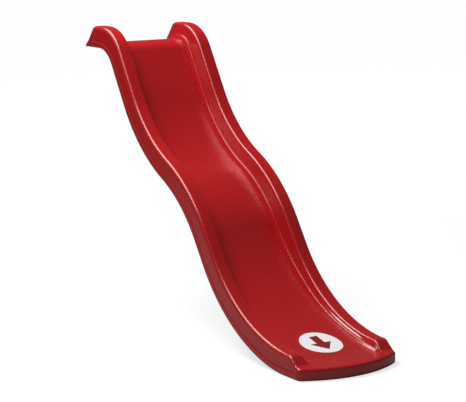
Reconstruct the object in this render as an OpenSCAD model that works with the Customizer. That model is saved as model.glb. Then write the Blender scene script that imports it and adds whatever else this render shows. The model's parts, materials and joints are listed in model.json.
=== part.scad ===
/* [Slide] */
// Height of the platform that the slide hooks over
platform_h = 900; // [880:5:940]
// Overall width across the outer walls
slide_w = 374; // [360:2:420]
// Width of each side rail
rail_w = 50.5; // [46:0.5:60]
// Rise of the side rails above the platform
ear_rise = 75; // [72:1:90]
// Thickness of the moulded plastic wall
wall = 4; // [3:0.5:5]

/* [Wave] */
// Slope of the steep first run, in degrees
steep = 58.4; // [57:0.2:60]
// Slope on the crest of the wave, in degrees
crest = 25.4; // [23:0.2:28]
// Slope of the second drop, in degrees
second = 55.8; // [54:0.2:57]
// Radius of the floor in the hollow before the wave
hollow_r = 560; // [540:5:580]
// Radius of the floor over the wave
wave_r = 503; // [490:1:520]

/* [Trough] */
// Depth of the trough, square to the floor
trough_d = 61; // [58:1:64]
// Depth of the side walls, square to the rail tops
side_d = 75; // [74:1:80]
// Height of the ledge on each side, square to the floor
ledge_h = 15; // [12:1:18]
// Width of that ledge
ledge_w = 12; // [8:1:16]

/* [Foot] */
// Thickness of the flat foot
foot_h = 39; // [36:1:44]
// Length of the face that lies on the ground
foot_len = 116; // [100:2:130]
// Radius of the curved front edge in plan
front_r = 350; // [320:5:420]

/* [Fittings] */
// Distance between the two platform screws
screw_gap = 190; // [160:5:210]
// Length of screw shank below the lip
screw_reach = 42; // [30:1:50]
// Diameter of the direction sticker
disc_d = 138; // [100:2:150]

/* [Hidden] */
$fn = 96;
slide_red = [0.66, 0.06, 0.09];
print_red = [0.45, 0.03, 0.05];
rubber_black = [0.08, 0.08, 0.08];
steel_grey = [0.75, 0.76, 0.78];

// Half widths of the outer walls and of the trough.
half_w = slide_w / 2;
wall_x = half_w - rail_w;
overlap = 4;
step_angle = 2;

// ---- Side paths ------------------------------------------------------------
// A path runs downhill, towards -Y. It is a list of bends, and each bend is
// [radius, slope after it, straight run after it], with slopes in degrees.

// Travel and drop of a bend that has turned from slope a to slope c on its way to b.
function travel(r, a, b, c) = sign(b - a) * r * (sin(c) - sin(a));
function drop(r, a, b, c) = sign(b - a) * r * (cos(a) - cos(c));
function bend_travel(r, a, b) = travel(r, a, b, b);
function bend_drop(r, a, b) = drop(r, a, b, b);

// Every joint of a path as [y, z, slope], from a start of the same form.
function walk(bends, start, i = 0) =
  i == len(bends) ? [start] :
  let (
    r = bends[i][0],
    a = start[2],
    b = bends[i][1],
    run = bends[i][2],
    y = start[0] - bend_travel(r, a, b) - run * cos(b),
    z = start[1] - bend_drop(r, a, b) - run * sin(b)
  )
  concat([start], walk(bends, [y, z, b], i + 1));

function last(list) = list[len(list) - 1];
function backwards(list) = [for (i = [len(list) - 1:-1:0]) list[i]];

// A point at height up above the place [y, z], square to a slope.
function above(y, z, slope, up) = [y - up * sin(slope), z + up * cos(slope)];

// Points along a path at height up above it.
function trace(bends, start, up) =
  let (joints = walk(bends, start))
  [
    for (i = [0:len(bends) - 1])
      let (
        r = bends[i][0],
        a = joints[i][2],
        b = bends[i][1],
        n = ceil(abs(b - a) / step_angle)
      )
      each concat(
        [
          for (k = [0:n])
            let (c = n == 0 ? b : a + (b - a) * k / n)
            above(
              joints[i][0] - travel(r, a, b, c),
              joints[i][1] - drop(r, a, b, c),
              c, up
            )
        ],
        bends[i][2] == 0 ? [] : [above(joints[i + 1][0], joints[i + 1][1], b, up)]
      )
  ];

// ---- Floor path: over the lip, down the wave and out along the foot --------
lip_rise = 20;
lip_len = 92;
lip_r = 400;
lip_slope = asin(lip_len / lip_r);
lip_crest_z = platform_h + lip_rise;
crest_r = 60;
run_out_r = 661;
run_out_slope = 19;
foot_r = 886;
floor_drops =
  bend_drop(crest_r, 0, steep) + bend_drop(hollow_r, steep, crest)
  + bend_drop(wave_r, crest, second) + bend_drop(run_out_r, second, run_out_slope)
  + bend_drop(foot_r, run_out_slope, 0);
steep_run = (lip_crest_z - foot_h - floor_drops) / sin(steep);
front_y = -foot_len / 2;
lip_crest_y = front_y
  + bend_travel(crest_r, 0, steep) + steep_run * cos(steep)
  + bend_travel(hollow_r, steep, crest) + bend_travel(wave_r, crest, second)
  + bend_travel(run_out_r, second, run_out_slope) + bend_travel(foot_r, run_out_slope, 0);
platform_y = lip_crest_y + 21.5;

front_spare = 10;
upper_bends = [
  [lip_r, 0, 0], [crest_r, steep, steep_run], [hollow_r, crest, 0], [wave_r, second, 0]
];
floor_bends = concat(
  upper_bends, [[run_out_r, run_out_slope, 0], [foot_r, 0, front_spare]]
);
floor_start = [
  lip_crest_y + lip_len, lip_crest_z - lip_r * (1 - cos(lip_slope)), -lip_slope
];
floor_joints = walk(floor_bends, floor_start);
// The side rails end short of here, so the foot is flat from edge to edge.
foot_side_y = 5;

// The ledge follows the floor, then sinks into it towards the foot.
ledge_bends = concat(upper_bends, [[683, 4, 60]]);

// ---- Rail path: ear tip, ear crest, parallel to the floor, rail end --------
ear_tip_h = 11;
ear_back_slope = 52;
ear_back_r = 30;
ear_crest_r = 145;
ear_top_z = platform_h + ear_rise;
ear_tip_y = platform_y + 91;
ear_crest_z = ear_top_z - ear_crest_r;
floor_crest_z = lip_crest_z - crest_r;
ear_crest_y = lip_crest_y
  - (crest_r + trough_d - ear_crest_r - (ear_crest_z - floor_crest_z) * cos(steep))
  / sin(steep);
ear_back_run = (ear_rise - ear_tip_h - ear_back_r * (1 - cos(ear_back_slope)))
  / sin(ear_back_slope);
ear_top_run = ear_tip_y - ear_crest_y
  - ear_back_run * cos(ear_back_slope) - ear_back_r * sin(ear_back_slope);
// Where the floor's hollow and its second drop start, raised to the rail top.
hollow_top = above(floor_joints[2][0], floor_joints[2][1], steep, trough_d);
second_top = above(floor_joints[4][0], floor_joints[4][1], second, trough_d);
rail_steep_run = (ear_crest_z + ear_crest_r * cos(steep) - hollow_top[1]) / sin(steep);
second_run = 93;
rail_end_rise = 31;
rail_end_slope = 2.4;
rail_out_r = (second_top[1] - foot_h - rail_end_rise - second_run * sin(second))
  / (cos(rail_end_slope) - cos(second));
rail_stop_r = 25;
rail_stop_slope = 42;
rail_stop_run = 44;
rail_bends = [
  [0, -ear_back_slope, ear_back_run],
  [ear_back_r, 0, ear_top_run],
  [ear_crest_r, steep, rail_steep_run],
  [hollow_r - trough_d, crest, 0],
  [wave_r + trough_d, second, second_run],
  [rail_out_r, rail_end_slope, 0],
  [rail_stop_r, rail_stop_slope, rail_stop_run]
];
rail_start = [ear_tip_y, platform_h + ear_tip_h, -ear_back_slope];

// ---- Underside path: along the platform, round the hook, down to the ground
hook_r = 100;
hook_y = ear_crest_y
  + (hook_r + side_d - ear_crest_r + (platform_h - hook_r - ear_crest_z) * cos(steep))
  / sin(steep);
hook_steep_run = rail_steep_run
  - ((ear_crest_z + (ear_crest_r - side_d) * cos(steep))
  - (platform_h - hook_r + hook_r * cos(steep))) / sin(steep);
landing_slope = 15;
under_bends = [
  [0, 0, ear_tip_y - hook_y],
  [hook_r, steep, hook_steep_run],
  [hollow_r - trough_d + side_d, crest, 0],
  [wave_r + trough_d - side_d, second, second_run],
  [rail_out_r + side_d, landing_slope, 0]
];
under_start = [ear_tip_y, platform_h, 0];
landing = last(walk(under_bends, under_start));
landing_r = landing[1] / (1 - cos(landing_slope));
ground_run = landing[0] - landing_r * sin(landing_slope) - front_y + front_spare;
ground_bends = concat(under_bends, [[landing_r, 0, ground_run]]);

// ---- Slide shell -------------------------------------------------------------
// A side outline in the Y-Z plane, carried from -x to x.
module side_prism(x) {
  translate([-x, 0, 0])
    rotate([90, 0, 90])
      linear_extrude(2 * x) children();
}

module both_sides() {
  children();
  mirror([1, 0, 0]) children();
}

// Side outlines of the rails and of the floor. inset is how far they stand in from
// the underside, and top is how far they stand in from the rail tops or the floor.
module rail_outline(top, inset) {
  tip = [ear_tip_y - inset, platform_h + inset];
  polygon(concat(
    [tip, tip + [0, ear_tip_h]],
    trace(rail_bends, rail_start, -top),
    [for (p = backwards(trace(ground_bends, under_start, inset))) if (p[0] < tip[0]) p]
  ));
}

module floor_outline(top, inset) {
  back = floor_start[0] - inset;
  polygon(concat(
    [[back, platform_h + inset], [back, floor_start[1] - top]],
    [for (p = trace(floor_bends, floor_start, -top)) if (p[0] < back) p],
    [for (p = backwards(trace(ground_bends, under_start, inset))) if (p[0] < back) p]
  ));
}

// The space between the rails, open at the top and behind the lip.
module trough_outline() {
  back = floor_start[0];
  end = ear_tip_y + 1;
  polygon(concat(
    [[end, platform_h - 1], [end, ear_top_z + 1], [foot_side_y, ear_top_z + 1]],
    backwards([
      for (p = trace(floor_bends, floor_start, 0))
        if (p[0] > foot_side_y && p[0] < back) p
    ]),
    [[back, floor_start[1]], [back, platform_h - 1]]
  ));
}

module ledge_outline() {
  polygon(concat(
    trace(ledge_bends, floor_start, ledge_h),
    backwards(trace(ledge_bends, floor_start, -overlap))
  ));
}

module ledges() {
  both_sides()
    translate([wall_x - ledge_w, 0, 0])
      rotate([90, 0, 90])
        linear_extrude(ledge_w + overlap) ledge_outline();
}

// Everything in front of the curved front edge.
module front_waste(inset) {
  depth = 60;
  w = slide_w + 2;
  translate([0, 0, -1])
    linear_extrude(foot_h + 60)
      difference() {
        translate([-w / 2, front_y - 20]) square([w, 20 + depth]);
        translate([0, front_y + front_r]) circle(front_r - inset, $fn = 360);
      }
}

module core() {
  difference() {
    side_prism(half_w) {
      rail_outline(0, 0);
      floor_outline(0, 0);
    }
    side_prism(wall_x) trough_outline();
  }
}

module outer_form() {
  difference() {
    union() {
      core();
      ledges();
      translate([0, inlet_y, inlet_face_z]) cylinder(r = inlet_boss_r, h = lip_rise);
    }
    front_waste(0);
  }
}

module inner_void() {
  difference() {
    union() {
      both_sides()
        intersection() {
          side_prism(half_w - wall) rail_outline(wall, wall);
          translate([wall_x + wall, front_y, 0]) cube([rail_w, ear_tip_y, ear_top_z]);
        }
      side_prism(half_w - wall) floor_outline(wall, wall);
    }
    front_waste(wall);
    at_screws() cylinder(r = boss_r, h = lip_rise);
    translate([0, inlet_y, inlet_face_z]) cylinder(r = inlet_boss_r, h = 40);
  }
}

module slide_shell() {
  color(slide_red)
    difference() {
      outer_form();
      inner_void();
      at_screws() translate([0, 0, -1]) cylinder(r = screw_hole_r, h = lip_rise);
      at_screws() translate([0, 0, seat_rise]) cylinder(r = seat_r, h = lip_rise);
      translate([0, inlet_y, inlet_face_z - 1]) cylinder(r = inlet_hole_r, h = 60);
      translate([0, inlet_y, gasket_z]) cylinder(r = gasket_seat_r, h = lip_rise);
      at_blow_holes() translate([0, 0, -1]) cylinder(r = plug_r + 0.1, h = wall + 3);
    }
}

// ---- Direction sticker --------------------------------------------------------
disc_slope = 12.5;
film = 0.45;
lift = 0.15;
film_spare = 10;

// A film on the foot's curve, from height low to height high above the floor.
module floor_film(low, high) {
  w = disc_d + film_spare;
  spread = w / foot_r * 90 / PI;
  translate([0, front_y, foot_h + foot_r])
    rotate([90, 0, 90])
      rotate([0, 0, disc_slope - spread - 90])
        rotate_extrude(angle = 2 * spread, $fn = 360)
          translate([foot_r - high, -w / 2]) square([high - low, w]);
}

module over_disc() {
  translate([
    0, front_y + foot_r * sin(disc_slope), foot_h + foot_r * (1 - cos(disc_slope))
  ])
    rotate([disc_slope, 0, 0])
      translate([0, 0, -20])
        linear_extrude(40) children();
}

module arrow_outline() {
  head_w = disc_d * 0.56;
  head_l = disc_d * 0.34;
  stem_w = disc_d * 0.22;
  half_l = disc_d * 0.33;
  polygon([
    [0, -half_l], [head_w / 2, head_l - half_l], [stem_w / 2, head_l - half_l],
    [stem_w / 2, half_l], [-stem_w / 2, half_l],
    [-stem_w / 2, head_l - half_l], [-head_w / 2, head_l - half_l]
  ]);
}

module direction_disc() {
  color("white")
    intersection() {
      floor_film(lift, film);
      over_disc() circle(d = disc_d);
    }
}

module direction_arrow() {
  color(print_red)
    intersection() {
      floor_film(film, film + 0.15);
      over_disc() arrow_outline();
    }
}

// ---- Platform screws, each under a two-part cap --------------------------------
screw_r = 3;
shank_r = 2.6;
screw_hole_r = 3.5;
screw_back = 40;
boss_r = 14;
seat_rise = 5;
seat_r = 11;
cap_r = 10.5;
cap_floor = 1.2;
cap_wall = 1.2;
cap_wall_h = 5;
washer_h = 1;
washer_r = 7;
head_r = 5.75;
head_h = 2.8;
fine_gap = 0.05;
head_z = seat_rise + cap_floor + washer_h;

module at_screws() {
  for (x = [-1, 1])
    translate([x * screw_gap / 2, platform_y + screw_back, platform_h]) children();
}

module platform_screws() {
  point_h = 7;
  dome = 0.8;
  drive_d = 1.6;
  color(steel_grey)
    at_screws()
      difference() {
        rotate_extrude()
          polygon([
            [0, -screw_reach - point_h], [screw_r, -screw_reach], [screw_r, 0],
            [shank_r, 0.4], [shank_r, head_z],
            [head_r, head_z], [head_r, head_z + head_h - dome],
            [head_r - 1.5, head_z + head_h], [0, head_z + head_h]
          ]);
        translate([0, 0, head_z + head_h - drive_d]) cylinder(r = 2.3, h = 3, $fn = 6);
      }
}

module ring(inner_r, outer_r, h) {
  difference() {
    cylinder(r = outer_r, h = h);
    translate([0, 0, -1]) cylinder(r = inner_r, h = h + 2);
  }
}

module screw_washers() {
  color(steel_grey)
    at_screws()
      translate([0, 0, seat_rise + cap_floor]) ring(screw_r + 0.2, washer_r, washer_h);
}

module cap_bases() {
  color(slide_red)
    at_screws()
      translate([0, 0, seat_rise]) {
        ring(screw_r + 0.3, cap_r, cap_floor);
        ring(cap_r - cap_wall, cap_r, cap_wall_h);
      }
}

module cap_lids() {
  lid_h = 1.6;
  skirt_h = 2.6;
  skirt_r = cap_r - cap_wall - fine_gap;
  color(slide_red)
    at_screws()
      translate([0, 0, seat_rise + cap_wall_h + fine_gap]) {
        cylinder(r1 = cap_r, r2 = cap_r - 1, h = lid_h);
        translate([0, 0, -skirt_h]) ring(skirt_r - 1, skirt_r, skirt_h + lid_h / 2);
      }
}

// ---- Water inlet under the lip -------------------------------------------------
inlet_y = platform_y - 25;
inlet_face_z = platform_h - 16;
inlet_boss_r = 14;
inlet_hole_r = 6.9;
tail_r = 6.5;
channel_r = 3;
gasket_seat_r = 11;
gasket_z = lip_crest_z - 2;
gasket_h = 1;
flange_r = 10.5;
tail_end_z = inlet_face_z - 19;
nut_washer_h = 1.2;
nut_h = 6;
nut_r = 11;
adaptor_r = 11;
adaptor_floor_z = tail_end_z - 1.6;
nipple_r = 6.6;
nipple_len = 26;
groove_r = 5.1;
groove_h = 2.0;
groove_z = adaptor_floor_z - 3 - nipple_len + 6;

module at_inlet(z) {
  translate([0, inlet_y, z]) children();
}

module spray_head() {
  dome_h = 2.2;
  flange_z = gasket_z + gasket_h;
  jet_r = 1;
  color(slide_red)
    difference() {
      at_inlet(0)
        rotate_extrude()
          polygon([
            [channel_r, tail_end_z], [tail_r, tail_end_z], [tail_r, flange_z],
            [flange_r, flange_z], [flange_r, flange_z + 0.8],
            [flange_r - 3, flange_z + dome_h], [0, flange_z + dome_h],
            [0, flange_z - 2], [channel_r, flange_z - 2]
          ]);
      for (x = [-5, 0, 5])
        translate([x / 2, inlet_y, flange_z - 3])
          rotate([90 - 22, 0, x * 4]) cylinder(r = jet_r, h = 30);
    }
}

module spray_head_gasket() {
  color(rubber_black) at_inlet(gasket_z) ring(tail_r + fine_gap, flange_r, gasket_h);
}

module lock_nut_washer() {
  color("ivory")
    at_inlet(inlet_face_z - nut_washer_h) ring(tail_r + 0.3, inlet_boss_r - 1, nut_washer_h);
}

module lock_nut() {
  color(rubber_black)
    at_inlet(inlet_face_z - nut_washer_h - nut_h)
      difference() {
        cylinder(r = nut_r, h = nut_h, $fn = 6);
        translate([0, 0, -1]) cylinder(r = tail_r + fine_gap, h = nut_h + 2);
      }
}

module hose_adaptor() {
  body_top = inlet_face_z - nut_washer_h - nut_h - 0.5;
  neck_z = adaptor_floor_z - 3;
  end_z = neck_z - nipple_len;
  color("orange")
    at_inlet(0)
      rotate_extrude()
        polygon([
          [tail_r + fine_gap, body_top], [adaptor_r, body_top], [adaptor_r, neck_z + 2],
          [adaptor_r - 2, neck_z], [nipple_r, neck_z], [nipple_r, neck_z - 7],
          [nipple_r - 1, neck_z - 8], [nipple_r - 1, neck_z - 11],
          [nipple_r, neck_z - 12], [nipple_r, groove_z + groove_h],
          [groove_r, groove_z + groove_h], [groove_r, groove_z], [nipple_r, groove_z],
          [nipple_r, end_z + 2], [nipple_r - 1.4, end_z], [channel_r, end_z],
          [channel_r, adaptor_floor_z], [tail_r + fine_gap, adaptor_floor_z]
        ]);
}

module adaptor_seal() {
  color(rubber_black)
    at_inlet(adaptor_floor_z + 0.05) ring(channel_r, tail_r, tail_end_z - adaptor_floor_z - 0.1);
}

module nipple_o_ring() {
  cord_r = 0.8;
  color(rubber_black)
    at_inlet(groove_z + groove_h / 2)
      rotate_extrude() translate([groove_r + fine_gap + cord_r, 0]) circle(cord_r, $fn = 32);
}

// ---- Plugs in the blow holes, in the underside of the steep run -----------------
plug_r = 6;
plug_gap = 150;
plug_start = walk(under_bends, under_start)[2];

module at_blow_holes() {
  back = hook_steep_run * 0.6;
  for (x = [-1, 1])
    translate([
      x * plug_gap / 2, plug_start[0] + back * cos(steep), plug_start[1] + back * sin(steep)
    ])
      rotate([steep, 0, 0]) children();
}

module blow_hole_plugs() {
  flange_h = 1.4;
  barb = 0.5;
  color(slide_red)
    at_blow_holes() {
      translate([0, 0, -flange_h - 0.02]) cylinder(r1 = plug_r + 2.5, r2 = plug_r + 4, h = flange_h);
      translate([0, 0, -flange_h / 2]) cylinder(r = plug_r, h = wall + flange_h / 2 + 0.4);
      translate([0, 0, wall + 0.2]) cylinder(r1 = plug_r + barb, r2 = plug_r - 1, h = 1.4);
    }
}

slide_shell();
direction_disc();
direction_arrow();
platform_screws();
screw_washers();
cap_bases();
cap_lids();
spray_head();
spray_head_gasket();
lock_nut_washer();
lock_nut();
hose_adaptor();
adaptor_seal();
nipple_o_ring();
blow_hole_plugs();
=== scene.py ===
import json
import math

import bmesh
import bpy
import numpy as np
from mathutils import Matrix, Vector


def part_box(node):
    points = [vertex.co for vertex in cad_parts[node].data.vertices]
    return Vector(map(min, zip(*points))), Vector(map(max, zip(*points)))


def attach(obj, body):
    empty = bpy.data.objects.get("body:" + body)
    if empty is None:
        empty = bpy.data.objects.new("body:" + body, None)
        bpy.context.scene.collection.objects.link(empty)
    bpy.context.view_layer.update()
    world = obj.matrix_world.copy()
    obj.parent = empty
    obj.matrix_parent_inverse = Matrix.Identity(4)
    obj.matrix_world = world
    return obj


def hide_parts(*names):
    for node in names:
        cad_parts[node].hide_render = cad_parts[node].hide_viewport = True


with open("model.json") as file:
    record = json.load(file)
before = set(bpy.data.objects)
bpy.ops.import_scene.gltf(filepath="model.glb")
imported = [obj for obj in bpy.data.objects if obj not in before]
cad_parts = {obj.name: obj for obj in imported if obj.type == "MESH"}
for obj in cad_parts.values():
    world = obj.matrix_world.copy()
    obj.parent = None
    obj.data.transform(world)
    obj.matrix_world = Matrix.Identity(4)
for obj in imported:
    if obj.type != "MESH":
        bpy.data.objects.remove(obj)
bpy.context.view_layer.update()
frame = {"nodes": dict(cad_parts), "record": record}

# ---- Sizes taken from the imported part, in millimetres ------------------------
MM = 0.001
shell_low, shell_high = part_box("slide_shell")
HALF_W = shell_high.x / MM
FRONT_Y = shell_low.y / MM
TIP_Y = shell_high.y / MM
EAR_TOP = shell_high.z / MM
platform_face = next(
    m for m in frame["record"]["mounts"] if m["name"] == "platform_face"
)
PLATFORM = platform_face["pos_m"][2] / MM

# ---- The moulding's side shapes, in millimetres and degrees ------------------
# slopes of the steep first run, of the wave's crest, and of the second drop
STEEP, CREST, SECOND = 58.4, 25.4, 55.8
HOLLOW_R, WAVE_R = 560.0, 503.0
SECOND_RUN = 93.0
TROUGH_D, SIDE_D = 61.0, 75.0  # the trough and the side walls, square to the slope
RUN_OUT_R, RUN_OUT_SLOPE, FOOT_R = 661.0, 19.0, 886.0
FOOT_H, FRONT_R = 39.0, 350.0

LIP_RISE, LIP_LEN, LIP_R = 20.0, 92.0, 400.0
LIP_CREST_R, LIP_BACK_R = 60.0, 5.0
EAR_CREST_R = 145.0
EAR_BACK_R, EAR_BACK_SLOPE = 30.0, 52.0
EAR_TIP_R, EAR_TIP_H = 5.0, 11.0
RAIL_END_RISE, RAIL_END_SLOPE = 31.0, 2.4
RAIL_STOP_R, RAIL_STOP_SLOPE, RAIL_STOP_RUN = 25.0, 42.0, 44.0
HOOK_R, LANDING_SLOPE = 100.0, 15.0
EDGE_R = 3.0  # small roundings under the back of the ears and the lip
SHORTEST = 0.1  # the first straight run is never shorter, so every path has all its knots

# ---- Its cross-section and its roundings -------------------------------------
RIM_INNER = HALF_W - 50.0
ROUNDING_SHARE = 0.45  # a rounding takes no more than this share of its side
LOW_SHARE = 0.4  # the bottom edge's rounding takes no more than this of its wall
THIN = 0.02  # no height or radius is smaller, so no two points fall together
OUTER_R = 12.0  # a rail's outer top edge
THIN_EDGE_R = 0.4  # what is left of it where the outer wall has no height
INNER_R = 10.0  # a rail's inner top edge
INNER_TURN = 84.0  # degrees that the inner top edge turns through
BOTTOM_R = 9.0  # the outer wall's bottom edge
FOOT_EDGE_R = 9.0  # the foot's top edge
CORNER_R = 9.5  # the foot's corners, seen from above
SEAM_H = 15.0  # where the mould's halves met on the foot's front

LEDGE_X = HALF_W - 61.0
LEDGE_H = 15.5
LEDGE_TOP = 7.0  # width of the ledge's top
LEDGE_FALL = 0.9  # how far that top falls towards the floor
LEDGE_EDGE_R = 5.0
FILLET_X = HALF_W - 67.5  # where the floor starts, inside the ledge
FILLET_POWER = 1.1
LEDGE_SHARE = 0.4  # the ledge takes no more than this share of the inner wall
LOW_WALL = 20.0  # beside an inner wall lower than this the ledge's top levels out
FOOT_LEDGE = 0.25  # share of the ledge's height that is left at the foot
LEDGE_FOOT_Y = (-20.0, 330.0)  # it grows to its full height between these
LEDGE_LIP_Y = (15.0, 70.0)  # and fades out between these, behind the lip's crest

GROOVE_UP = 23.0  # height of the parting line above the wall's bottom edge
GROOVE_DEPTH = 2.2
GROOVE_SPREAD = 1.7  # the groove's profile is widened by this
GROOVE_WALL = 24.0  # in an outer wall lower than this the groove is squeezed
GROOVE_FADE = (4.0, 22.0)  # and it gets shallower between these heights


def sin(a):
    """Sine of an angle in degrees."""
    return math.sin(math.radians(a))


def cos(a):
    """Cosine of an angle in degrees."""
    return math.cos(math.radians(a))


def turn_travel(r, a, b):
    """How far an arc of radius r travels as its slope goes from a to b."""
    return math.copysign(1, b - a) * r * (sin(b) - sin(a))


def turn_drop(r, a, b):
    """How far that arc drops."""
    return math.copysign(1, b - a) * r * (cos(a) - cos(b))


HALVINGS = 60  # steps of the search for a place on a path


class Path:
    """A side path that runs downhill, towards -Y.

    It starts at (y, z) with a slope, and each bend is (radius, slope after it,
    straight run after it). A bend with radius 0 is a sharp corner.
    """

    def __init__(self, y, z, slope, bends):
        self.pieces = []
        self.knots = [0.0]
        for r, to, run in bends:
            if to != slope and r > 0:
                self.add(y, z, slope, to, r, math.radians(abs(to - slope)) * r)
                y -= turn_travel(r, slope, to)
                z -= turn_drop(r, slope, to)
            slope = to
            if run > 0:
                self.add(y, z, slope, slope, 0.0, run)
                y -= run * cos(slope)
                z -= run * sin(slope)
        self.end = (y, z, slope)

    def add(self, y, z, a, b, r, length):
        self.pieces.append((y, z, a, b, r, length))
        self.knots.append(self.knots[-1] + length)

    def at(self, s):
        """(y, z, slope in degrees) at a length along the path."""
        i = 0
        while i < len(self.pieces) - 1 and s > self.knots[i + 1]:
            i += 1
        y, z, a, b, r, length = self.pieces[i]
        t = s - self.knots[i]
        if r == 0:
            return y - t * cos(a), z - t * sin(a), a
        c = a + (b - a) * t / length
        return y - turn_travel(r, a, c), z - turn_drop(r, a, c), c

    def where(self, y, after=0.0):
        """The length along the path where it passes y."""
        low, high = after, self.knots[-1]
        for _ in range(HALVINGS):
            mid = (low + high) / 2
            if self.at(mid)[0] > y:
                low = mid
            else:
                high = mid
        return (low + high) / 2


# ---- Side path of the floor: up the back of the lip, over it and down ----------
lip_slope = math.degrees(math.asin((LIP_LEN - LIP_BACK_R) / (LIP_R - LIP_BACK_R)))
lip_crest_z = PLATFORM + LIP_RISE
upper = [(LIP_CREST_R, 0, STEEP), (HOLLOW_R, STEEP, CREST), (WAVE_R, CREST, SECOND)]
lower = [(RUN_OUT_R, SECOND, RUN_OUT_SLOPE), (FOOT_R, RUN_OUT_SLOPE, 0)]
bends_drop = sum(turn_drop(r, a, b) for r, a, b in upper + lower)
steep_run = (lip_crest_z - FOOT_H - bends_drop) / sin(STEEP)
lip_crest_y = (
    FRONT_Y
    + sum(turn_travel(r, a, b) for r, a, b in upper + lower)
    + steep_run * cos(STEEP)
)
lip_back_y = lip_crest_y + LIP_LEN
lip_back_z = lip_crest_z - LIP_R * (1 - cos(lip_slope))
lip_back_rise = lip_back_z - LIP_BACK_R * cos(lip_slope) - (PLATFORM + EDGE_R)
FLAT_END = 60.0  # the path goes on past the front, so that every row finds its place
floor_path = Path(
    lip_back_y, PLATFORM + EDGE_R, -90,
    [(0, -90, max(lip_back_rise, SHORTEST)), (LIP_BACK_R, -lip_slope, 0),
     (LIP_R, 0, 0), (LIP_CREST_R, STEEP, steep_run), (HOLLOW_R, CREST, 0),
     (WAVE_R, SECOND, 0), (RUN_OUT_R, RUN_OUT_SLOPE, 0), (FOOT_R, 0, FLAT_END)],
)

# ---- Side path of the rail tops: up the ears' backs, over them and down ---------
ear_crest_z = EAR_TOP - EAR_CREST_R
ear_crest_y = lip_crest_y - (
    LIP_CREST_R + TROUGH_D - EAR_CREST_R
    - (ear_crest_z - (lip_crest_z - LIP_CREST_R)) * cos(STEEP)
) / sin(STEEP)


def rail_height_over(knot):
    """Height of the rail top, square to the floor path, over one of its knots."""
    _, z, slope = floor_path.at(floor_path.knots[knot])
    return z + TROUGH_D * cos(slope)


hollow_top_z = rail_height_over(5)
second_top_z = rail_height_over(7)
rail_steep_run = (ear_crest_z + EAR_CREST_R * cos(STEEP) - hollow_top_z) / sin(STEEP)
rail_out_r = (
    second_top_z - FOOT_H - RAIL_END_RISE - SECOND_RUN * sin(SECOND)
) / (cos(RAIL_END_SLOPE) - cos(SECOND))
tip_rise = EAR_TIP_H - EAR_TIP_R * cos(EAR_BACK_SLOPE) - EDGE_R
tip_in = EAR_TIP_R * (1 - sin(EAR_BACK_SLOPE))
ear_back_run = (
    EAR_TOP - (PLATFORM + EAR_TIP_H) - EAR_BACK_R * (1 - cos(EAR_BACK_SLOPE))
) / sin(EAR_BACK_SLOPE)
ear_top_run = (
    TIP_Y - tip_in - ear_crest_y
    - ear_back_run * cos(EAR_BACK_SLOPE) - EAR_BACK_R * sin(EAR_BACK_SLOPE)
)
rail_path = Path(
    TIP_Y, PLATFORM + EDGE_R, -90,
    [(0, -90, max(tip_rise, SHORTEST)),
     (EAR_TIP_R, -EAR_BACK_SLOPE, ear_back_run), (EAR_BACK_R, 0, ear_top_run),
     (EAR_CREST_R, STEEP, rail_steep_run), (HOLLOW_R - TROUGH_D, CREST, 0),
     (WAVE_R + TROUGH_D, SECOND, SECOND_RUN), (rail_out_r, RAIL_END_SLOPE, 0),
     (RAIL_STOP_R, RAIL_STOP_SLOPE, RAIL_STOP_RUN)],
)

# ---- Side paths of the underside: flat on the platform, then down below the rails
hook_y = ear_crest_y + (
    HOOK_R + SIDE_D - EAR_CREST_R + (PLATFORM - HOOK_R - ear_crest_z) * cos(STEEP)
) / sin(STEEP)
hook_steep_run = rail_steep_run - (
    (ear_crest_z + (EAR_CREST_R - SIDE_D) * cos(STEEP))
    - (PLATFORM - HOOK_R + HOOK_R * cos(STEEP))
) / sin(STEEP)
under_bends = [
    (HOOK_R, STEEP, hook_steep_run), (HOLLOW_R - TROUGH_D + SIDE_D, CREST, 0),
    (WAVE_R + TROUGH_D - SIDE_D, SECOND, SECOND_RUN),
    (rail_out_r + SIDE_D, LANDING_SLOPE, 0),
]
landing = Path(hook_y, PLATFORM, 0, under_bends).end
landing_r = landing[1] / (1 - cos(LANDING_SLOPE))
GROUND_END = 400.0  # the path goes on past the front here too


def under_path(back_y):
    """The underside's path, from a back edge at back_y."""
    start = [(EDGE_R, 0, back_y - EDGE_R - hook_y)]
    end = [(landing_r, 0, GROUND_END)]
    return Path(back_y, PLATFORM + EDGE_R, 90, start + under_bends + end)


under_ear = under_path(TIP_Y)
under_lip = under_path(lip_back_y)


# ---- Stations: matching places on the four paths ------------------------------
rail, floor, ear_under, lip_under = [], [], [], []


def match(n, *ranges):
    """Add n stations, each evenly spread over its own range of its own path."""
    stations = (rail, floor, ear_under, lip_under)
    paths = (rail_path, floor_path, under_ear, under_lip)
    for found, path, (start, end) in zip(stations, paths, ranges):
        found.extend(path.at(start + (end - start) * i / n) for i in range(n))


def match_bends(n, rail_knot, floor_knot, under_knot):
    """Add n stations over the stretches that start at these knots of the paths."""
    match(
        n,
        rail_path.knots[rail_knot:rail_knot + 2],
        floor_path.knots[floor_knot:floor_knot + 2],
        under_ear.knots[under_knot:under_knot + 2],
        under_lip.knots[under_knot:under_knot + 2],
    )


FOOT_ZONE_Y = 130.0  # from here to the foot every station is at one y on all paths
RAIL_STOP_Y = 60.0  # the rails' ends start to fall near here
PLATE_Y = 8.5  # the last straight row; here the rails have met the foot
LIP_BACK_SHARE = 0.35  # part of the lip's back that is matched with the ears' back slope
LIP_LEAD = 4.0  # the lip's underside is matched this much further back

rail_knots, floor_knots, ear_knots, lip_knots = (
    path.knots for path in (rail_path, floor_path, under_ear, under_lip)
)
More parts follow.
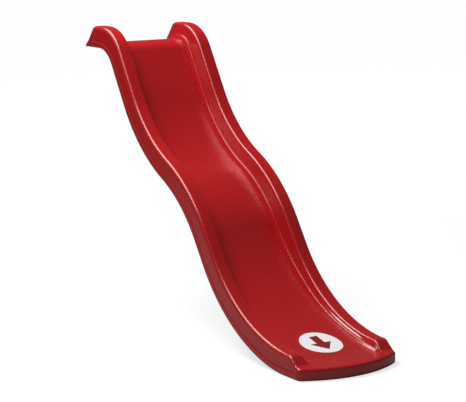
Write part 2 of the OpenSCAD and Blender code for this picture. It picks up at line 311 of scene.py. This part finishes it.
# Each match gives a number of rows and then a range on the rail's path, the floor's
# path, and the underside's paths at the ears and at the lip.
ear_back_y = rail_path.at(rail_knots[3])[0]
ear_flat_y = rail_path.at(rail_knots[4])[0]
lip_part = floor_knots[2] + LIP_BACK_SHARE * (floor_knots[3] - floor_knots[2])
lip_flat = floor_path.where(ear_flat_y, floor_knots[2])
ear_under_back = under_ear.where(ear_back_y)
lip_under_back = under_lip.where(ear_back_y + LIP_LEAD)
ear_under_flat = under_ear.where(ear_flat_y)
lip_under_flat = under_lip.where(ear_flat_y)
match(10, (0, rail_knots[2]), (0, floor_knots[2]), (0, ear_knots[1]), (0, lip_knots[1]))
match(14, (rail_knots[2], rail_knots[3]), (floor_knots[2], lip_part),
      (ear_knots[1], ear_under_back), (lip_knots[1], lip_under_back))
match(14, (rail_knots[3], rail_knots[4]), (lip_part, lip_flat),
      (ear_under_back, ear_under_flat), (lip_under_back, lip_under_flat))
match(18, (rail_knots[4], rail_knots[5]), (lip_flat, floor_knots[3]),
      (ear_under_flat, ear_knots[2]), (lip_under_flat, lip_knots[2]))
# over the crests, and down the steep run, the hollow and the wave: the number of rows,
# then the knots where the stretch starts on the rail, the floor and the underside
match_bends(36, 5, 3, 2)
match_bends(40, 6, 4, 3)
match_bends(56, 7, 5, 4)
match_bends(52, 8, 6, 5)
# the run-out, as far as the foot
match(
    84,
    (rail_knots[9], rail_path.where(FOOT_ZONE_Y, rail_knots[9])),
    (floor_knots[7], floor_path.where(FOOT_ZONE_Y, floor_knots[7])),
    (ear_knots[6], under_ear.where(FOOT_ZONE_Y, ear_knots[6])),
    (lip_knots[6], under_lip.where(FOOT_ZONE_Y, lip_knots[6])),
)


RAIL_BLEND = 5.0  # the rail's top meets the foot's over this difference in height
SLOPE_STEP = 0.2  # slopes are measured over this distance each way


def smooth_max(a, b, k):
    """The larger of a and b, blended over a difference of k."""
    d = max(k - abs(a - b), 0.0) / k
    return max(a, b) + d * d * k / 4


def rail_top(y):
    """Rail height near the foot: it runs down into the foot's top."""
    r = rail_path.at(rail_path.where(y, rail_knots[9]))[1]
    f = floor_path.at(floor_path.where(y, floor_knots[7]))[1]
    return smooth_max(r, f, RAIL_BLEND)


def rail_slope(y):
    rise = rail_top(y + SLOPE_STEP) - rail_top(y - SLOPE_STEP)
    return math.degrees(math.atan(rise / (2 * SLOPE_STEP)))


ZONE_N, STOP_N = 22, 44
zone = [FOOT_ZONE_Y + (RAIL_STOP_Y - FOOT_ZONE_Y) * i / ZONE_N for i in range(ZONE_N)]
zone += [RAIL_STOP_Y + (PLATE_Y - RAIL_STOP_Y) * i / STOP_N for i in range(STOP_N + 1)]
for y in zone:
    rail.append((y, rail_top(y), rail_slope(y)))
    floor.append(floor_path.at(floor_path.where(y, floor_knots[7])))
    below = under_ear.at(under_ear.where(y, ear_knots[6]))
    ear_under.append(below)
    lip_under.append(below)
LAST = len(rail) - 1


# ---- The section, from a rail's outer edge to the middle of the floor ----------
def fade(v, low, high):
    """0 below low, 1 above high, and a smooth step between."""
    t = min(max((v - low) / (high - low), 0.0), 1.0)
    return t * t * (3 - 2 * t)


def rounded_corner(p, q, r, radius, n):
    """n + 1 points of a curve that rounds the corner q between p and r."""
    p, q, r = (np.array(v, float) for v in (p, q, r))
    u, v = p - q, r - q
    lu, lv = np.linalg.norm(u), np.linalg.norm(v)
    u, v = u / max(lu, 1e-9), v / max(lv, 1e-9)
    half = math.acos(max(min(float(u @ v), 1), -1)) / 2
    longest = ROUNDING_SHARE * min(lu, lv)
    reach = min(radius / max(math.tan(half), 1e-6), longest)
    a, b = q + u * reach, q + v * reach
    points = []
    for i in range(n + 1):
        t = i / n
        points.append((1 - t) ** 2 * a + 2 * t * (1 - t) * q + t * t * b)
    return points


RIM_N = 8  # steps round each top edge of a rail
RIM_TOP_N = 6  # steps across the rail's top
WALL_N = 5  # rows of points down the inner wall
LEDGE_N, LEDGE_EDGE_N, FILLET_N, MIDDLE_N = 6, 9, 16, 12
FILLET_FROM = 9  # the ledge's rounded edge runs into the fillet here
LEDGE_STEP = 0.1  # the first points stay close together, so the ledge's edge is round
side_height = [math.hypot(r[0] - u[0], r[1] - u[1]) for r, u in zip(rail, ear_under)]


def rail_section(k):
    """(height above the rail path, x) from the outer wall over to the inner wall."""
    out_r = FOOT_EDGE_R + (OUTER_R - FOOT_EDGE_R) * fade(rail[k][0], PLATE_Y, RAIL_STOP_Y)
    out_r = min(out_r, ROUNDING_SHARE * side_height[k] + THIN_EDGE_R)
    in_r = min(INNER_R, max(ROUNDING_SHARE * gaps[k], THIN))
    outer, inner = HALF_W - out_r, RIM_INNER + in_r
    points = []
    for i in range(RIM_N + 1):
        t = 90 * i / RIM_N
        points.append((-out_r * (1 - sin(t)), HALF_W - out_r * (1 - cos(t))))
    for i in range(1, RIM_TOP_N):
        points.append((0.0, outer + (inner - outer) * i / RIM_TOP_N))
    for i in range(RIM_N + 1):
        t = INNER_TURN * i / RIM_N
        points.append((-in_r * (1 - cos(t)), inner - in_r * sin(t)))
    return points


def floor_section(k):
    """(height above the floor path, x) from the foot of the inner wall to the middle."""
    ledge = min(LEDGE_H * ledge_share[k], LEDGE_SHARE * gaps[k]) + THIN
    fall = LEDGE_FALL * min(1, gaps[k] / LOW_WALL)
    reach = LEDGE_X - FILLET_X
    points = [
        (ledge + fall - fall * i / LEDGE_N, LEDGE_X + LEDGE_TOP - i * LEDGE_STEP)
        for i in range(LEDGE_N + 1)
    ]
    fillet = []
    for i in range(FILLET_N + 1):
        left = 1 - i / FILLET_N
        fillet.append((ledge * left**FILLET_POWER, FILLET_X + reach * left))
    points += rounded_corner(
        points[-1], (ledge, LEDGE_X), fillet[FILLET_FROM], LEDGE_EDGE_R, LEDGE_EDGE_N
    )
    points += fillet[FILLET_FROM + 1:]
    for i in range(1, MIDDLE_N + 1):
        points.append((0.0, FILLET_X * (1 - i / MIDDLE_N)))
    return points


# the inner wall is low on the ears' first rows, and gains this much with each row
TIP_ROWS, TIP_WALL, TIP_WALL_STEP = 10, 12.0, 5.0
gaps, ledge_share = [], []  # height of the inner wall, and the part of the ledge shown
for k in range(LAST + 1):
    ry, rz, _ = rail[k]
    fy, fz, fa = floor[k]
    gap = math.hypot(ry - fy, rz - fz) if rz > fz else 0.0
    if k < TIP_ROWS:
        gap = min(gap, TIP_WALL + TIP_WALL_STEP * k)
    if ry < FOOT_ZONE_Y:
        gap = max(rz - fz, 0.0) * cos(fa)
    gaps.append(gap)
    from_foot = FOOT_LEDGE + (1 - FOOT_LEDGE) * fade(fy, *LEDGE_FOOT_Y)
    from_lip = 1 - fade(fy - lip_crest_y, *LEDGE_LIP_Y)
    ledge_share.append(from_foot * from_lip)


def top_row(k):
    """A row of the top surface, from the outer wall to the middle."""
    ry, rz, ra = rail[k]
    fy, fz, fa = floor[k]
    rim = [(x, ry - h * sin(ra), rz + h * cos(ra)) for h, x in rail_section(k)]
    low = [(x, fy - h * sin(fa), fz + h * cos(fa)) for h, x in floor_section(k)]
    a, b = np.array(rim[-1]), np.array(low[0])
    wall = [tuple(a + (b - a) * i / (WALL_N + 1)) for i in range(1, WALL_N + 1)]
    return rim + wall + low


rows = [top_row(k) for k in range(LAST + 1)]
RIM_COLUMNS = len(rail_section(0))


def under_row(k):
    """The underside below a top row, with its outer edge rounded."""
    ey, ez, ea = ear_under[k]
    ly, lz, la = lip_under[k]
    radius = min(BOTTOM_R, LOW_SHARE * side_height[k])
    flat_x = HALF_W - radius
    out = []
    for j, (x, _, _) in enumerate(rows[k]):
        # 0 under the rail, 1 under the floor
        w = min(max((j - RIM_COLUMNS + 1) / (WALL_N + 1), 0.0), 1.0)
        y, z, a = ey + (ly - ey) * w, ez + (lz - ez) * w, ea + (la - ea) * w
        up = 0.0
        if j <= RIM_N:
            t = 90 * j / RIM_N
            x = HALF_W - radius * (1 - cos(t))
            up = radius * (1 - sin(t))
        elif j < RIM_N + RIM_TOP_N:
            x = flat_x + (RIM_INNER + INNER_R - flat_x) * (j - RIM_N) / RIM_TOP_N
        out.append((x, y - up * sin(a), z + up * cos(a)))
    return out


under = [under_row(k) for k in range(LAST + 1)]

# ---- The foot plate: out to its curved front, then round to the seam ------------
# rows along the plate, round its front edge, and down or up its face to the seam
PLATE_N, TURN_N, FACE_N = 16, 8, 4
# the parting line fades out between these rows, counted from the last straight one
GROOVE_STOP = (2, PLATE_N - 5)


def plan_y(x, inset):
    """Where a column at x meets the foot's outline moved in by inset."""
    side = HALF_W - x
    back = inset
    if side < CORNER_R:
        back = CORNER_R - math.sqrt(max((CORNER_R - inset) ** 2 - (CORNER_R - side) ** 2, 0))
    line = FRONT_Y + FRONT_R - math.sqrt(FRONT_R**2 - x * x)
    return line + back / math.sqrt(1 - (x / FRONT_R) ** 2)


def edge_drop(r, distance):
    """How far a rounded edge has turned down at a distance in from the outline."""
    if distance >= r:
        return 0.0
    return r - math.sqrt(max(r * r - (r - distance) ** 2, 0.0))


def plate_rows(base, radius, level, direction):
    """Rows from the last straight row to the seam; direction is -1 for the top, 1 below."""
    out = []
    for k in range(1, PLATE_N + TURN_N + FACE_N + 1):
        row = []
        for x, y0, z0 in base:
            start = min(radius, max(HALF_W - x, 0.0))
            if k <= PLATE_N:
                t = k / PLATE_N
                y = y0 + (plan_y(x, start) - y0) * t
                z = z0 + (level + direction * edge_drop(radius, start) - z0) * t
            elif k <= PLATE_N + TURN_N:
                inset = start * (1 - sin(90 * (k - PLATE_N) / TURN_N))
                y = plan_y(x, inset)
                z = level + direction * edge_drop(radius, inset)
            else:
                y = plan_y(x, 0.0)
                edge = level + direction * radius
                z = edge + (SEAM_H - edge) * (k - PLATE_N - TURN_N) / FACE_N
            row.append((x, y, z))
        out.append(row)
    return out


rows += plate_rows(rows[LAST], FOOT_EDGE_R, FOOT_H, -1)
under += plate_rows(under[LAST], BOTTOM_R, 0.0, 1)
under[0] = rows[0]
under[-1] = rows[-1]

# ---- Outer walls, with the line where the mould's halves met --------------------
# the groove's profile: (height from its middle, share of its depth)
GROOVE_SIDE = [(0.5, 0.93), (1.0, 0.6), (1.7, 0.12), (2.6, 0.0)]
GROOVE = [(-up, share) for up, share in reversed(GROOVE_SIDE)] + [(0.0, 1.0)] + GROOVE_SIDE
# where the plain rows are, as shares of the wall below and above the groove
ROWS_BELOW, ROWS_ABOVE = (0.35, 0.75), (0.15, 0.4, 0.7)


def wall_column(k):
    """Points down the outer wall between the top row's first point and the bottom's."""
    a, b = np.array(rows[k][0]), np.array(under[k][0])
    length = float(np.linalg.norm(b - a))
    middle = min(GROOVE_UP - BOTTOM_R, ROUNDING_SHARE * length)
    squeeze = GROOVE_SPREAD * min(length / GROOVE_WALL, 1.0)
    deep = GROOVE_DEPTH * fade(length, *GROOVE_FADE) * (1 - fade(k - LAST, *GROOVE_STOP))
    groove = [(middle + up * squeeze, depth * deep) for up, depth in GROOVE]
    lowest, highest = groove[0][0], groove[-1][0]
    below = [(lowest * share, 0.0) for share in ROWS_BELOW]
    above = [(highest + (length - highest) * share, 0.0) for share in ROWS_ABOVE]
    out = []
    for up, depth in reversed(below + groove + above):
        p = b + (a - b) * (up / max(length, 1e-6))
        out.append((p[0] - depth, p[1], p[2]))
    return out


walls = [wall_column(k) for k in range(LAST + PLATE_N)]


# ---- The slide's surface as one closed mesh -------------------------------------
MERGE_DIST = 0.02 * MM  # points nearer than this are one
SLIVER_DIST = 0.01 * MM  # edges shorter than this are closed up


def mirrored(row):
    """A row from an outer wall to the middle, carried on to the other outer wall."""
    return row + [(-x, y, z) for x, y, z in reversed(row[:-1])]


def grid(points, flip):
    """Quads over a grid of rows of point numbers."""
    quads = []
    for a, b in zip(points, points[1:]):
        for i in range(len(a) - 1):
            quad = (a[i], a[i + 1], b[i + 1], b[i])
            quads.append(quad[::-1] if flip else quad)
    return quads


def build_shell():
    """The slide's whole outer surface."""
    verts, faces = [], []

    def number(grid_rows):
        """Add rows of points to the mesh and give back their numbers."""
        out = []
        for row in grid_rows:
            out.append(list(range(len(verts), len(verts) + len(row))))
            verts.extend(tuple(v * MM for v in p) for p in row)
        return out

    top = number([mirrored(r) for r in rows])
    bottom = number([mirrored(r) for r in under])
    right = number(walls)
    left = number([[(-x, y, z) for x, y, z in w] for w in walls])
    faces += grid(top, False)
    faces += grid(bottom, True)
    for end, wall, flip in ((0, right, True), (-1, left, False)):
        side = [[t[end]] + w + [b[end]] for t, w, b in zip(top, wall, bottom)]
        faces += grid(side, flip)
        # one face from the last wall row to the upright corner of the foot's front
        corner = LAST + PLATE_N
        front = range(corner + TURN_N + 1, len(top) - 1)
        edge = [bottom[corner][end]] + [bottom[k][end] for k in front] + [top[-1][end]]
        edge += [top[k][end] for k in reversed(front)] + [top[corner][end]]
        faces.append(side[-1] + edge)
    mesh = bpy.data.meshes.new("moulded_slide")
    mesh.from_pydata(verts, [], faces)
    obj = bpy.data.objects.new("moulded_slide", mesh)
    bpy.context.scene.collection.objects.link(obj)
    bm = bmesh.new()
    bm.from_mesh(mesh)
    bmesh.ops.remove_doubles(bm, verts=bm.verts, dist=MERGE_DIST)
    bmesh.ops.dissolve_degenerate(bm, edges=bm.edges, dist=SLIVER_DIST)
    bmesh.ops.recalc_face_normals(bm, faces=bm.faces)
    bm.to_mesh(mesh)
    bm.free()
    return obj


def ring_points(profile, place, n):
    """n points round the upright line at place for each (radius, height) in millimetres."""
    return [
        (place[0] + r * math.cos(2 * math.pi * i / n) * MM,
         place[1] + r * math.sin(2 * math.pi * i / n) * MM, place[2] + z * MM)
        for r, z in profile for i in range(n)
    ]


def ring_faces(lower, upper, n):
    """Quads between two rings of ring_points, given by their numbers."""
    return [
        (lower * n + i, lower * n + (i + 1) % n, upper * n + (i + 1) % n, upper * n + i)
        for i in range(n)
    ]


def turned(profile, place, n=96):
    """Vertices and faces of a closed turned solid with a flat bottom and top."""
    faces = []
    for k in range(len(profile) - 1):
        faces += ring_faces(k, k + 1, n)
    faces.append(tuple(reversed(range(n))))
    faces.append(tuple(range((len(profile) - 1) * n, len(profile) * n)))
    return ring_points(profile, place, n), faces


def cut_away(obj, solids):
    """Cut solids, each given by its vertices and faces, out of an object."""
    verts, faces = [], []
    for v, f in solids:
        faces += [tuple(i + len(verts) for i in face) for face in f]
        verts += v
    mesh = bpy.data.meshes.new("recesses")
    mesh.from_pydata(verts, [], faces)
    tool = bpy.data.objects.new("recesses", mesh)
    bpy.context.scene.collection.objects.link(tool)
    bpy.context.view_layer.update()
    mod = obj.modifiers.new("recesses", "BOOLEAN")
    mod.operation = "DIFFERENCE"
    mod.solver = "EXACT"
    mod.object = tool
    bpy.context.view_layer.objects.active = obj
    bpy.ops.object.modifier_apply(modifier=mod.name)
    bpy.data.objects.remove(tool)


slide = build_shell()

# ---- Recesses for the screw caps and the spray head, and the holes under them ----
caps_low, caps_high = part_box("cap_bases")
head_low, head_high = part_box("spray_head")
gasket_low, gasket_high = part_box("spray_head_gasket")
cap_y = (caps_low.y + caps_high.y) / 2
cap_r = (caps_high.y - caps_low.y) / 2 / MM
cap_x = caps_high.x - cap_r * MM
head_y = (head_low.y + head_high.y) / 2
head_r = (gasket_high.y - gasket_low.y) / 2 / MM
INLET_HOLE_R = 6.9
SCREW_HOLE_R = 3.5
# (radius, height over the seat): the hole, the seat, the side, and a flared top edge
inlet_recess = [
    (INLET_HOLE_R, -60), (INLET_HOLE_R, 0), (head_r + 0.5, 0.01), (head_r + 0.5, 1.2),
    (head_r + 2.2, 2.9), (head_r + 2.2, 20),
]
cap_recess = [
    (SCREW_HOLE_R, -8), (SCREW_HOLE_R, 0), (cap_r + 0.6, 0.01), (cap_r + 0.6, 8.2),
    (cap_r + 3.2, 10.8), (cap_r + 3.2, 30),
]
recesses = [turned(inlet_recess, (0, head_y, gasket_low.z))]
recesses += [turned(cap_recess, (x, cap_y, caps_low.z)) for x in (-cap_x, cap_x)]
cut_away(slide, recesses)


def shade_smooth(mesh, sharp_from):
    """Smooth shading, with edges kept sharp from an angle in degrees."""
    for polygon in mesh.polygons:
        polygon.use_smooth = True
    mesh.set_sharp_from_angle(angle=math.radians(sharp_from))


SLIDE_SHARP, PAD_SHARP, BEVEL_SHARP = 38, 40, 40
shade_smooth(slide.data, SLIDE_SHARP)
flats = slide.modifiers.new("flat faces lead", "WEIGHTED_NORMAL")
flats.keep_sharp = True


def inlet_pad():
    """The round pad under the lip that the inlet's nut pulls against."""
    outer, n = 14.0, 72
    profile = [
        (INLET_HOLE_R, 0.0), (outer - 1.5, 0.0), (outer - 0.5, 0.5), (outer, 1.6),
        (outer, 10.0), (outer + 1.5, 14.0), (outer + 5.0, 17.0), (INLET_HOLE_R, 17.0),
    ]
    faces = []
    for k in range(len(profile)):
        faces += ring_faces(k, (k + 1) % len(profile), n)
    _, washer_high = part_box("lock_nut_washer")
    mesh = bpy.data.meshes.new("inlet_pad")
    mesh.from_pydata(ring_points(profile, (0, head_y, washer_high.z), n), [], faces)
    shade_smooth(mesh, PAD_SHARP)
    obj = bpy.data.objects.new("inlet_pad", mesh)
    bpy.context.scene.collection.objects.link(obj)
    return obj


# ---- Materials -------------------------------------------------------------------
# frequencies of the change in tone, of the change in roughness, and of the long swell
TONE_SCALE, ROUGH_SCALE, SWELL_SCALE = 9.0, 35.0, 22.0
ROUGH_SPREAD = 0.05


def material(name, colour, roughness, spread=0.12, second=None, metallic=0.0, shine=0.5,
             grain=900.0, grain_depth=0.04, wave=0.0):
    """A procedural finish: two close tones, uneven roughness, and a fine grain.

    grain is the grain's frequency, and grain_depth and wave are heights in millimetres.
    """
    mat = bpy.data.materials.new(name)
    mat.use_nodes = True
    nodes, links = mat.node_tree.nodes, mat.node_tree.links
    shader = nodes["Principled BSDF"]
    shader.inputs["Metallic"].default_value = metallic
    shader.inputs["Specular IOR Level"].default_value = shine
    coordinates = nodes.new("ShaderNodeTexCoord")

    def noise(scale, detail):
        texture = nodes.new("ShaderNodeTexNoise")
        texture.inputs["Scale"].default_value = scale
        texture.inputs["Detail"].default_value = detail
        links.new(coordinates.outputs["Object"], texture.inputs["Vector"])
        return texture.outputs["Fac"]

    def bump(height, depth):
        node = nodes.new("ShaderNodeBump")
        node.inputs["Strength"].default_value = 1.0
        node.inputs["Distance"].default_value = depth * MM
        links.new(height, node.inputs["Height"])
        return node

    tone = nodes.new("ShaderNodeMix")
    tone.data_type = "RGBA"
    tone.inputs["A"].default_value = (*colour, 1)
    other = second or [c * (1 - spread) for c in colour]
    tone.inputs["B"].default_value = (*other, 1)
    links.new(noise(TONE_SCALE, 3.0), tone.inputs["Factor"])
    links.new(tone.outputs["Result"], shader.inputs["Base Color"])

    rough = nodes.new("ShaderNodeMapRange")
    rough.inputs["To Min"].default_value = roughness - ROUGH_SPREAD
    rough.inputs["To Max"].default_value = roughness + ROUGH_SPREAD
    links.new(noise(ROUGH_SCALE, 4.0), rough.inputs["Value"])
    links.new(rough.outputs["Result"], shader.inputs["Roughness"])

    fine = bump(noise(grain, 2.0), grain_depth)
    if wave > 0:
        swell = bump(noise(SWELL_SCALE, 1.0), wave)
        links.new(swell.outputs["Normal"], fine.inputs["Normal"])
    links.new(fine.outputs["Normal"], shader.inputs["Normal"])
    return mat


RED, RED_SHADE = (0.46, 0.0065, 0.0085), (0.41, 0.005, 0.007)
PRINT_RED, WHITE = (0.28, 0.008, 0.012), (0.93, 0.93, 0.93)
BLACK, CREAM, STEEL = (0.03, 0.03, 0.032), (0.80, 0.77, 0.68), (0.62, 0.63, 0.65)
RUBBER, ORANGE = (0.022, 0.022, 0.023), (0.85, 0.24, 0.02)
finishes = {
    "slide_plastic": material("slide_plastic", RED, 0.26, second=RED_SHADE, shine=0.7,
                              grain=260.0, grain_depth=0.004, wave=0.08),
    "cap_plastic": material("cap_plastic", RED, 0.30, second=RED_SHADE),
    "sticker_white": material("sticker_white", WHITE, 0.30, spread=0.03, grain_depth=0.01),
    "sticker_print": material("sticker_print", PRINT_RED, 0.32, grain_depth=0.01),
    "screw_steel": material("screw_steel", STEEL, 0.28, metallic=1.0,
                            grain=1400.0, grain_depth=0.01),
    "rubber": material("rubber", RUBBER, 0.72, grain_depth=0.05),
    "nylon": material("nylon", CREAM, 0.45, grain_depth=0.02),
    "black_plastic": material("black_plastic", BLACK, 0.42, grain_depth=0.03),
    "hose_plastic": material("hose_plastic", ORANGE, 0.40, grain_depth=0.03),
}


def finish(obj, slot):
    """Give an object the finish of a material slot, and no other."""
    obj.data.materials.clear()
    obj.data.materials.append(finishes[slot])


# ---- Pieces: the slide and its pad are made here, and the small parts are the CAD's
finish(slide, "slide_plastic")
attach(slide, "root")
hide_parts("slide_shell")
pad = inlet_pad()
finish(pad, "slide_plastic")
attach(pad, "root")

# widths of the small parts' edge bevels, in millimetres
EDGE_WIDTHS = {
    "cap_lids": 0.5, "cap_bases": 0.25, "lock_nut": 0.5, "hose_adaptor": 0.3,
    "spray_head": 0.3, "platform_screws": 0.2, "screw_washers": 0.15,
    "lock_nut_washer": 0.15, "spray_head_gasket": 0.15, "blow_hole_plugs": 0.3,
}
for part in frame["record"]["subparts"]:
    node = part["node"]
    if node == "slide_shell":
        continue
    obj = frame["nodes"][node]
    finish(obj, part["material_slot"])
    if node in EDGE_WIDTHS:
        bevel = obj.modifiers.new("soft edges", "BEVEL")
        bevel.width = EDGE_WIDTHS[node] * MM
        bevel.segments = 2
        bevel.limit_method = "ANGLE"
        bevel.angle_limit = math.radians(BEVEL_SHARP)

# ---- Studio ----------------------------------------------------------------------
centre = (shell_low + shell_high) / 2


def aimed(name, data, place, target):
    """Put a light or a camera in the scene, facing a target."""
    obj = bpy.data.objects.new(name, data)
    bpy.context.scene.collection.objects.link(obj)
    obj.location = place
    obj.rotation_euler = (target - place).to_track_quat("-Z", "Y").to_euler()
    return obj


def softbox():
    """One wide soft light above the slide, off to its left."""
    light = bpy.data.lights.new("softbox", "AREA")
    light.shape = "RECTANGLE"
    light.size, light.size_y = 3.6, 1.5
    light.energy = 150
    aimed("softbox", light, centre + Vector((-1.05, 0.6, 2.7)), centre)


def sky():
    """A faint white light from all round; the camera sees a pale backdrop instead."""
    world = bpy.data.worlds.new("studio")
    bpy.context.scene.world = world
    world.use_nodes = True
    nodes, links = world.node_tree.nodes, world.node_tree.links
    light = nodes["Background"]
    light.inputs["Color"].default_value = (1, 1, 1, 1)
    light.inputs["Strength"].default_value = 0.10
    backdrop = nodes.new("ShaderNodeBackground")
    backdrop.inputs["Color"].default_value = (0.8, 0.8, 0.8, 1)
    backdrop.inputs["Strength"].default_value = 1.0
    ray = nodes.new("ShaderNodeLightPath")
    chosen = nodes.new("ShaderNodeMixShader")
    links.new(ray.outputs["Is Camera Ray"], chosen.inputs["Fac"])
    links.new(light.outputs["Background"], chosen.inputs[1])
    links.new(backdrop.outputs["Background"], chosen.inputs[2])
    links.new(chosen.outputs["Shader"], nodes["World Output"].inputs["Surface"])


def pale_finish():
    """The floor's finish: it glows for the camera only, and more so far away."""
    mat = material("studio_pale", (0.32, 0.32, 0.32), 0.9, spread=0.01, shine=0.0,
                   grain_depth=0.0)
    nodes, links = mat.node_tree.nodes, mat.node_tree.links
    shader = nodes["Principled BSDF"]
    shader.inputs["Emission Color"].default_value = (1, 1, 1, 1)
    coordinates = nodes.new("ShaderNodeTexCoord")
    far = nodes.new("ShaderNodeVectorMath")
    far.operation = "LENGTH"
    glow = nodes.new("ShaderNodeMapRange")
    glow.interpolation_type = "SMOOTHSTEP"
    for socket, value in (
        ("From Min", 0.8), ("From Max", 5.5), ("To Min", 0.74), ("To Max", 0.96),
    ):
        glow.inputs[socket].default_value = value
    ray = nodes.new("ShaderNodeLightPath")
    seen = nodes.new("ShaderNodeMath")
    seen.operation = "MULTIPLY"
    links.new(coordinates.outputs["Object"], far.inputs[0])
    links.new(far.outputs["Value"], glow.inputs["Value"])
    links.new(glow.outputs["Result"], seen.inputs[0])
    links.new(ray.outputs["Is Camera Ray"], seen.inputs[1])
    links.new(seen.outputs["Value"], shader.inputs["Emission Strength"])
    return mat


def studio_floor():
    """A wide plain floor, a hair below the ground face so that the two don't flicker."""
    half, below = 30.0, 0.0006
    mesh = bpy.data.meshes.new("studio_floor")
    mesh.from_pydata(
        [(-half, -half, 0), (half, -half, 0), (half, half, 0), (-half, half, 0)],
        [], [(0, 1, 2, 3)],
    )
    mesh.materials.append(pale_finish())
    obj = bpy.data.objects.new("studio_floor", mesh)
    bpy.context.scene.collection.objects.link(obj)
    obj.location.z = -below


def camera():
    """A long lens at the front left, a little above the slide's top."""
    data = bpy.data.cameras.new("camera")
    data.sensor_width = 36.0
    data.lens = 130.0
    data.clip_end = 200.0
    place = centre + Vector((-3.02, -4.497, 0.939))
    aim = centre + Vector((-0.012, 0.0, -0.052))
    bpy.context.scene.camera = aimed("camera", data, place, aim)


sky()
softbox()
studio_floor()
camera()
bpy.context.scene.view_settings.view_transform = "Standard"
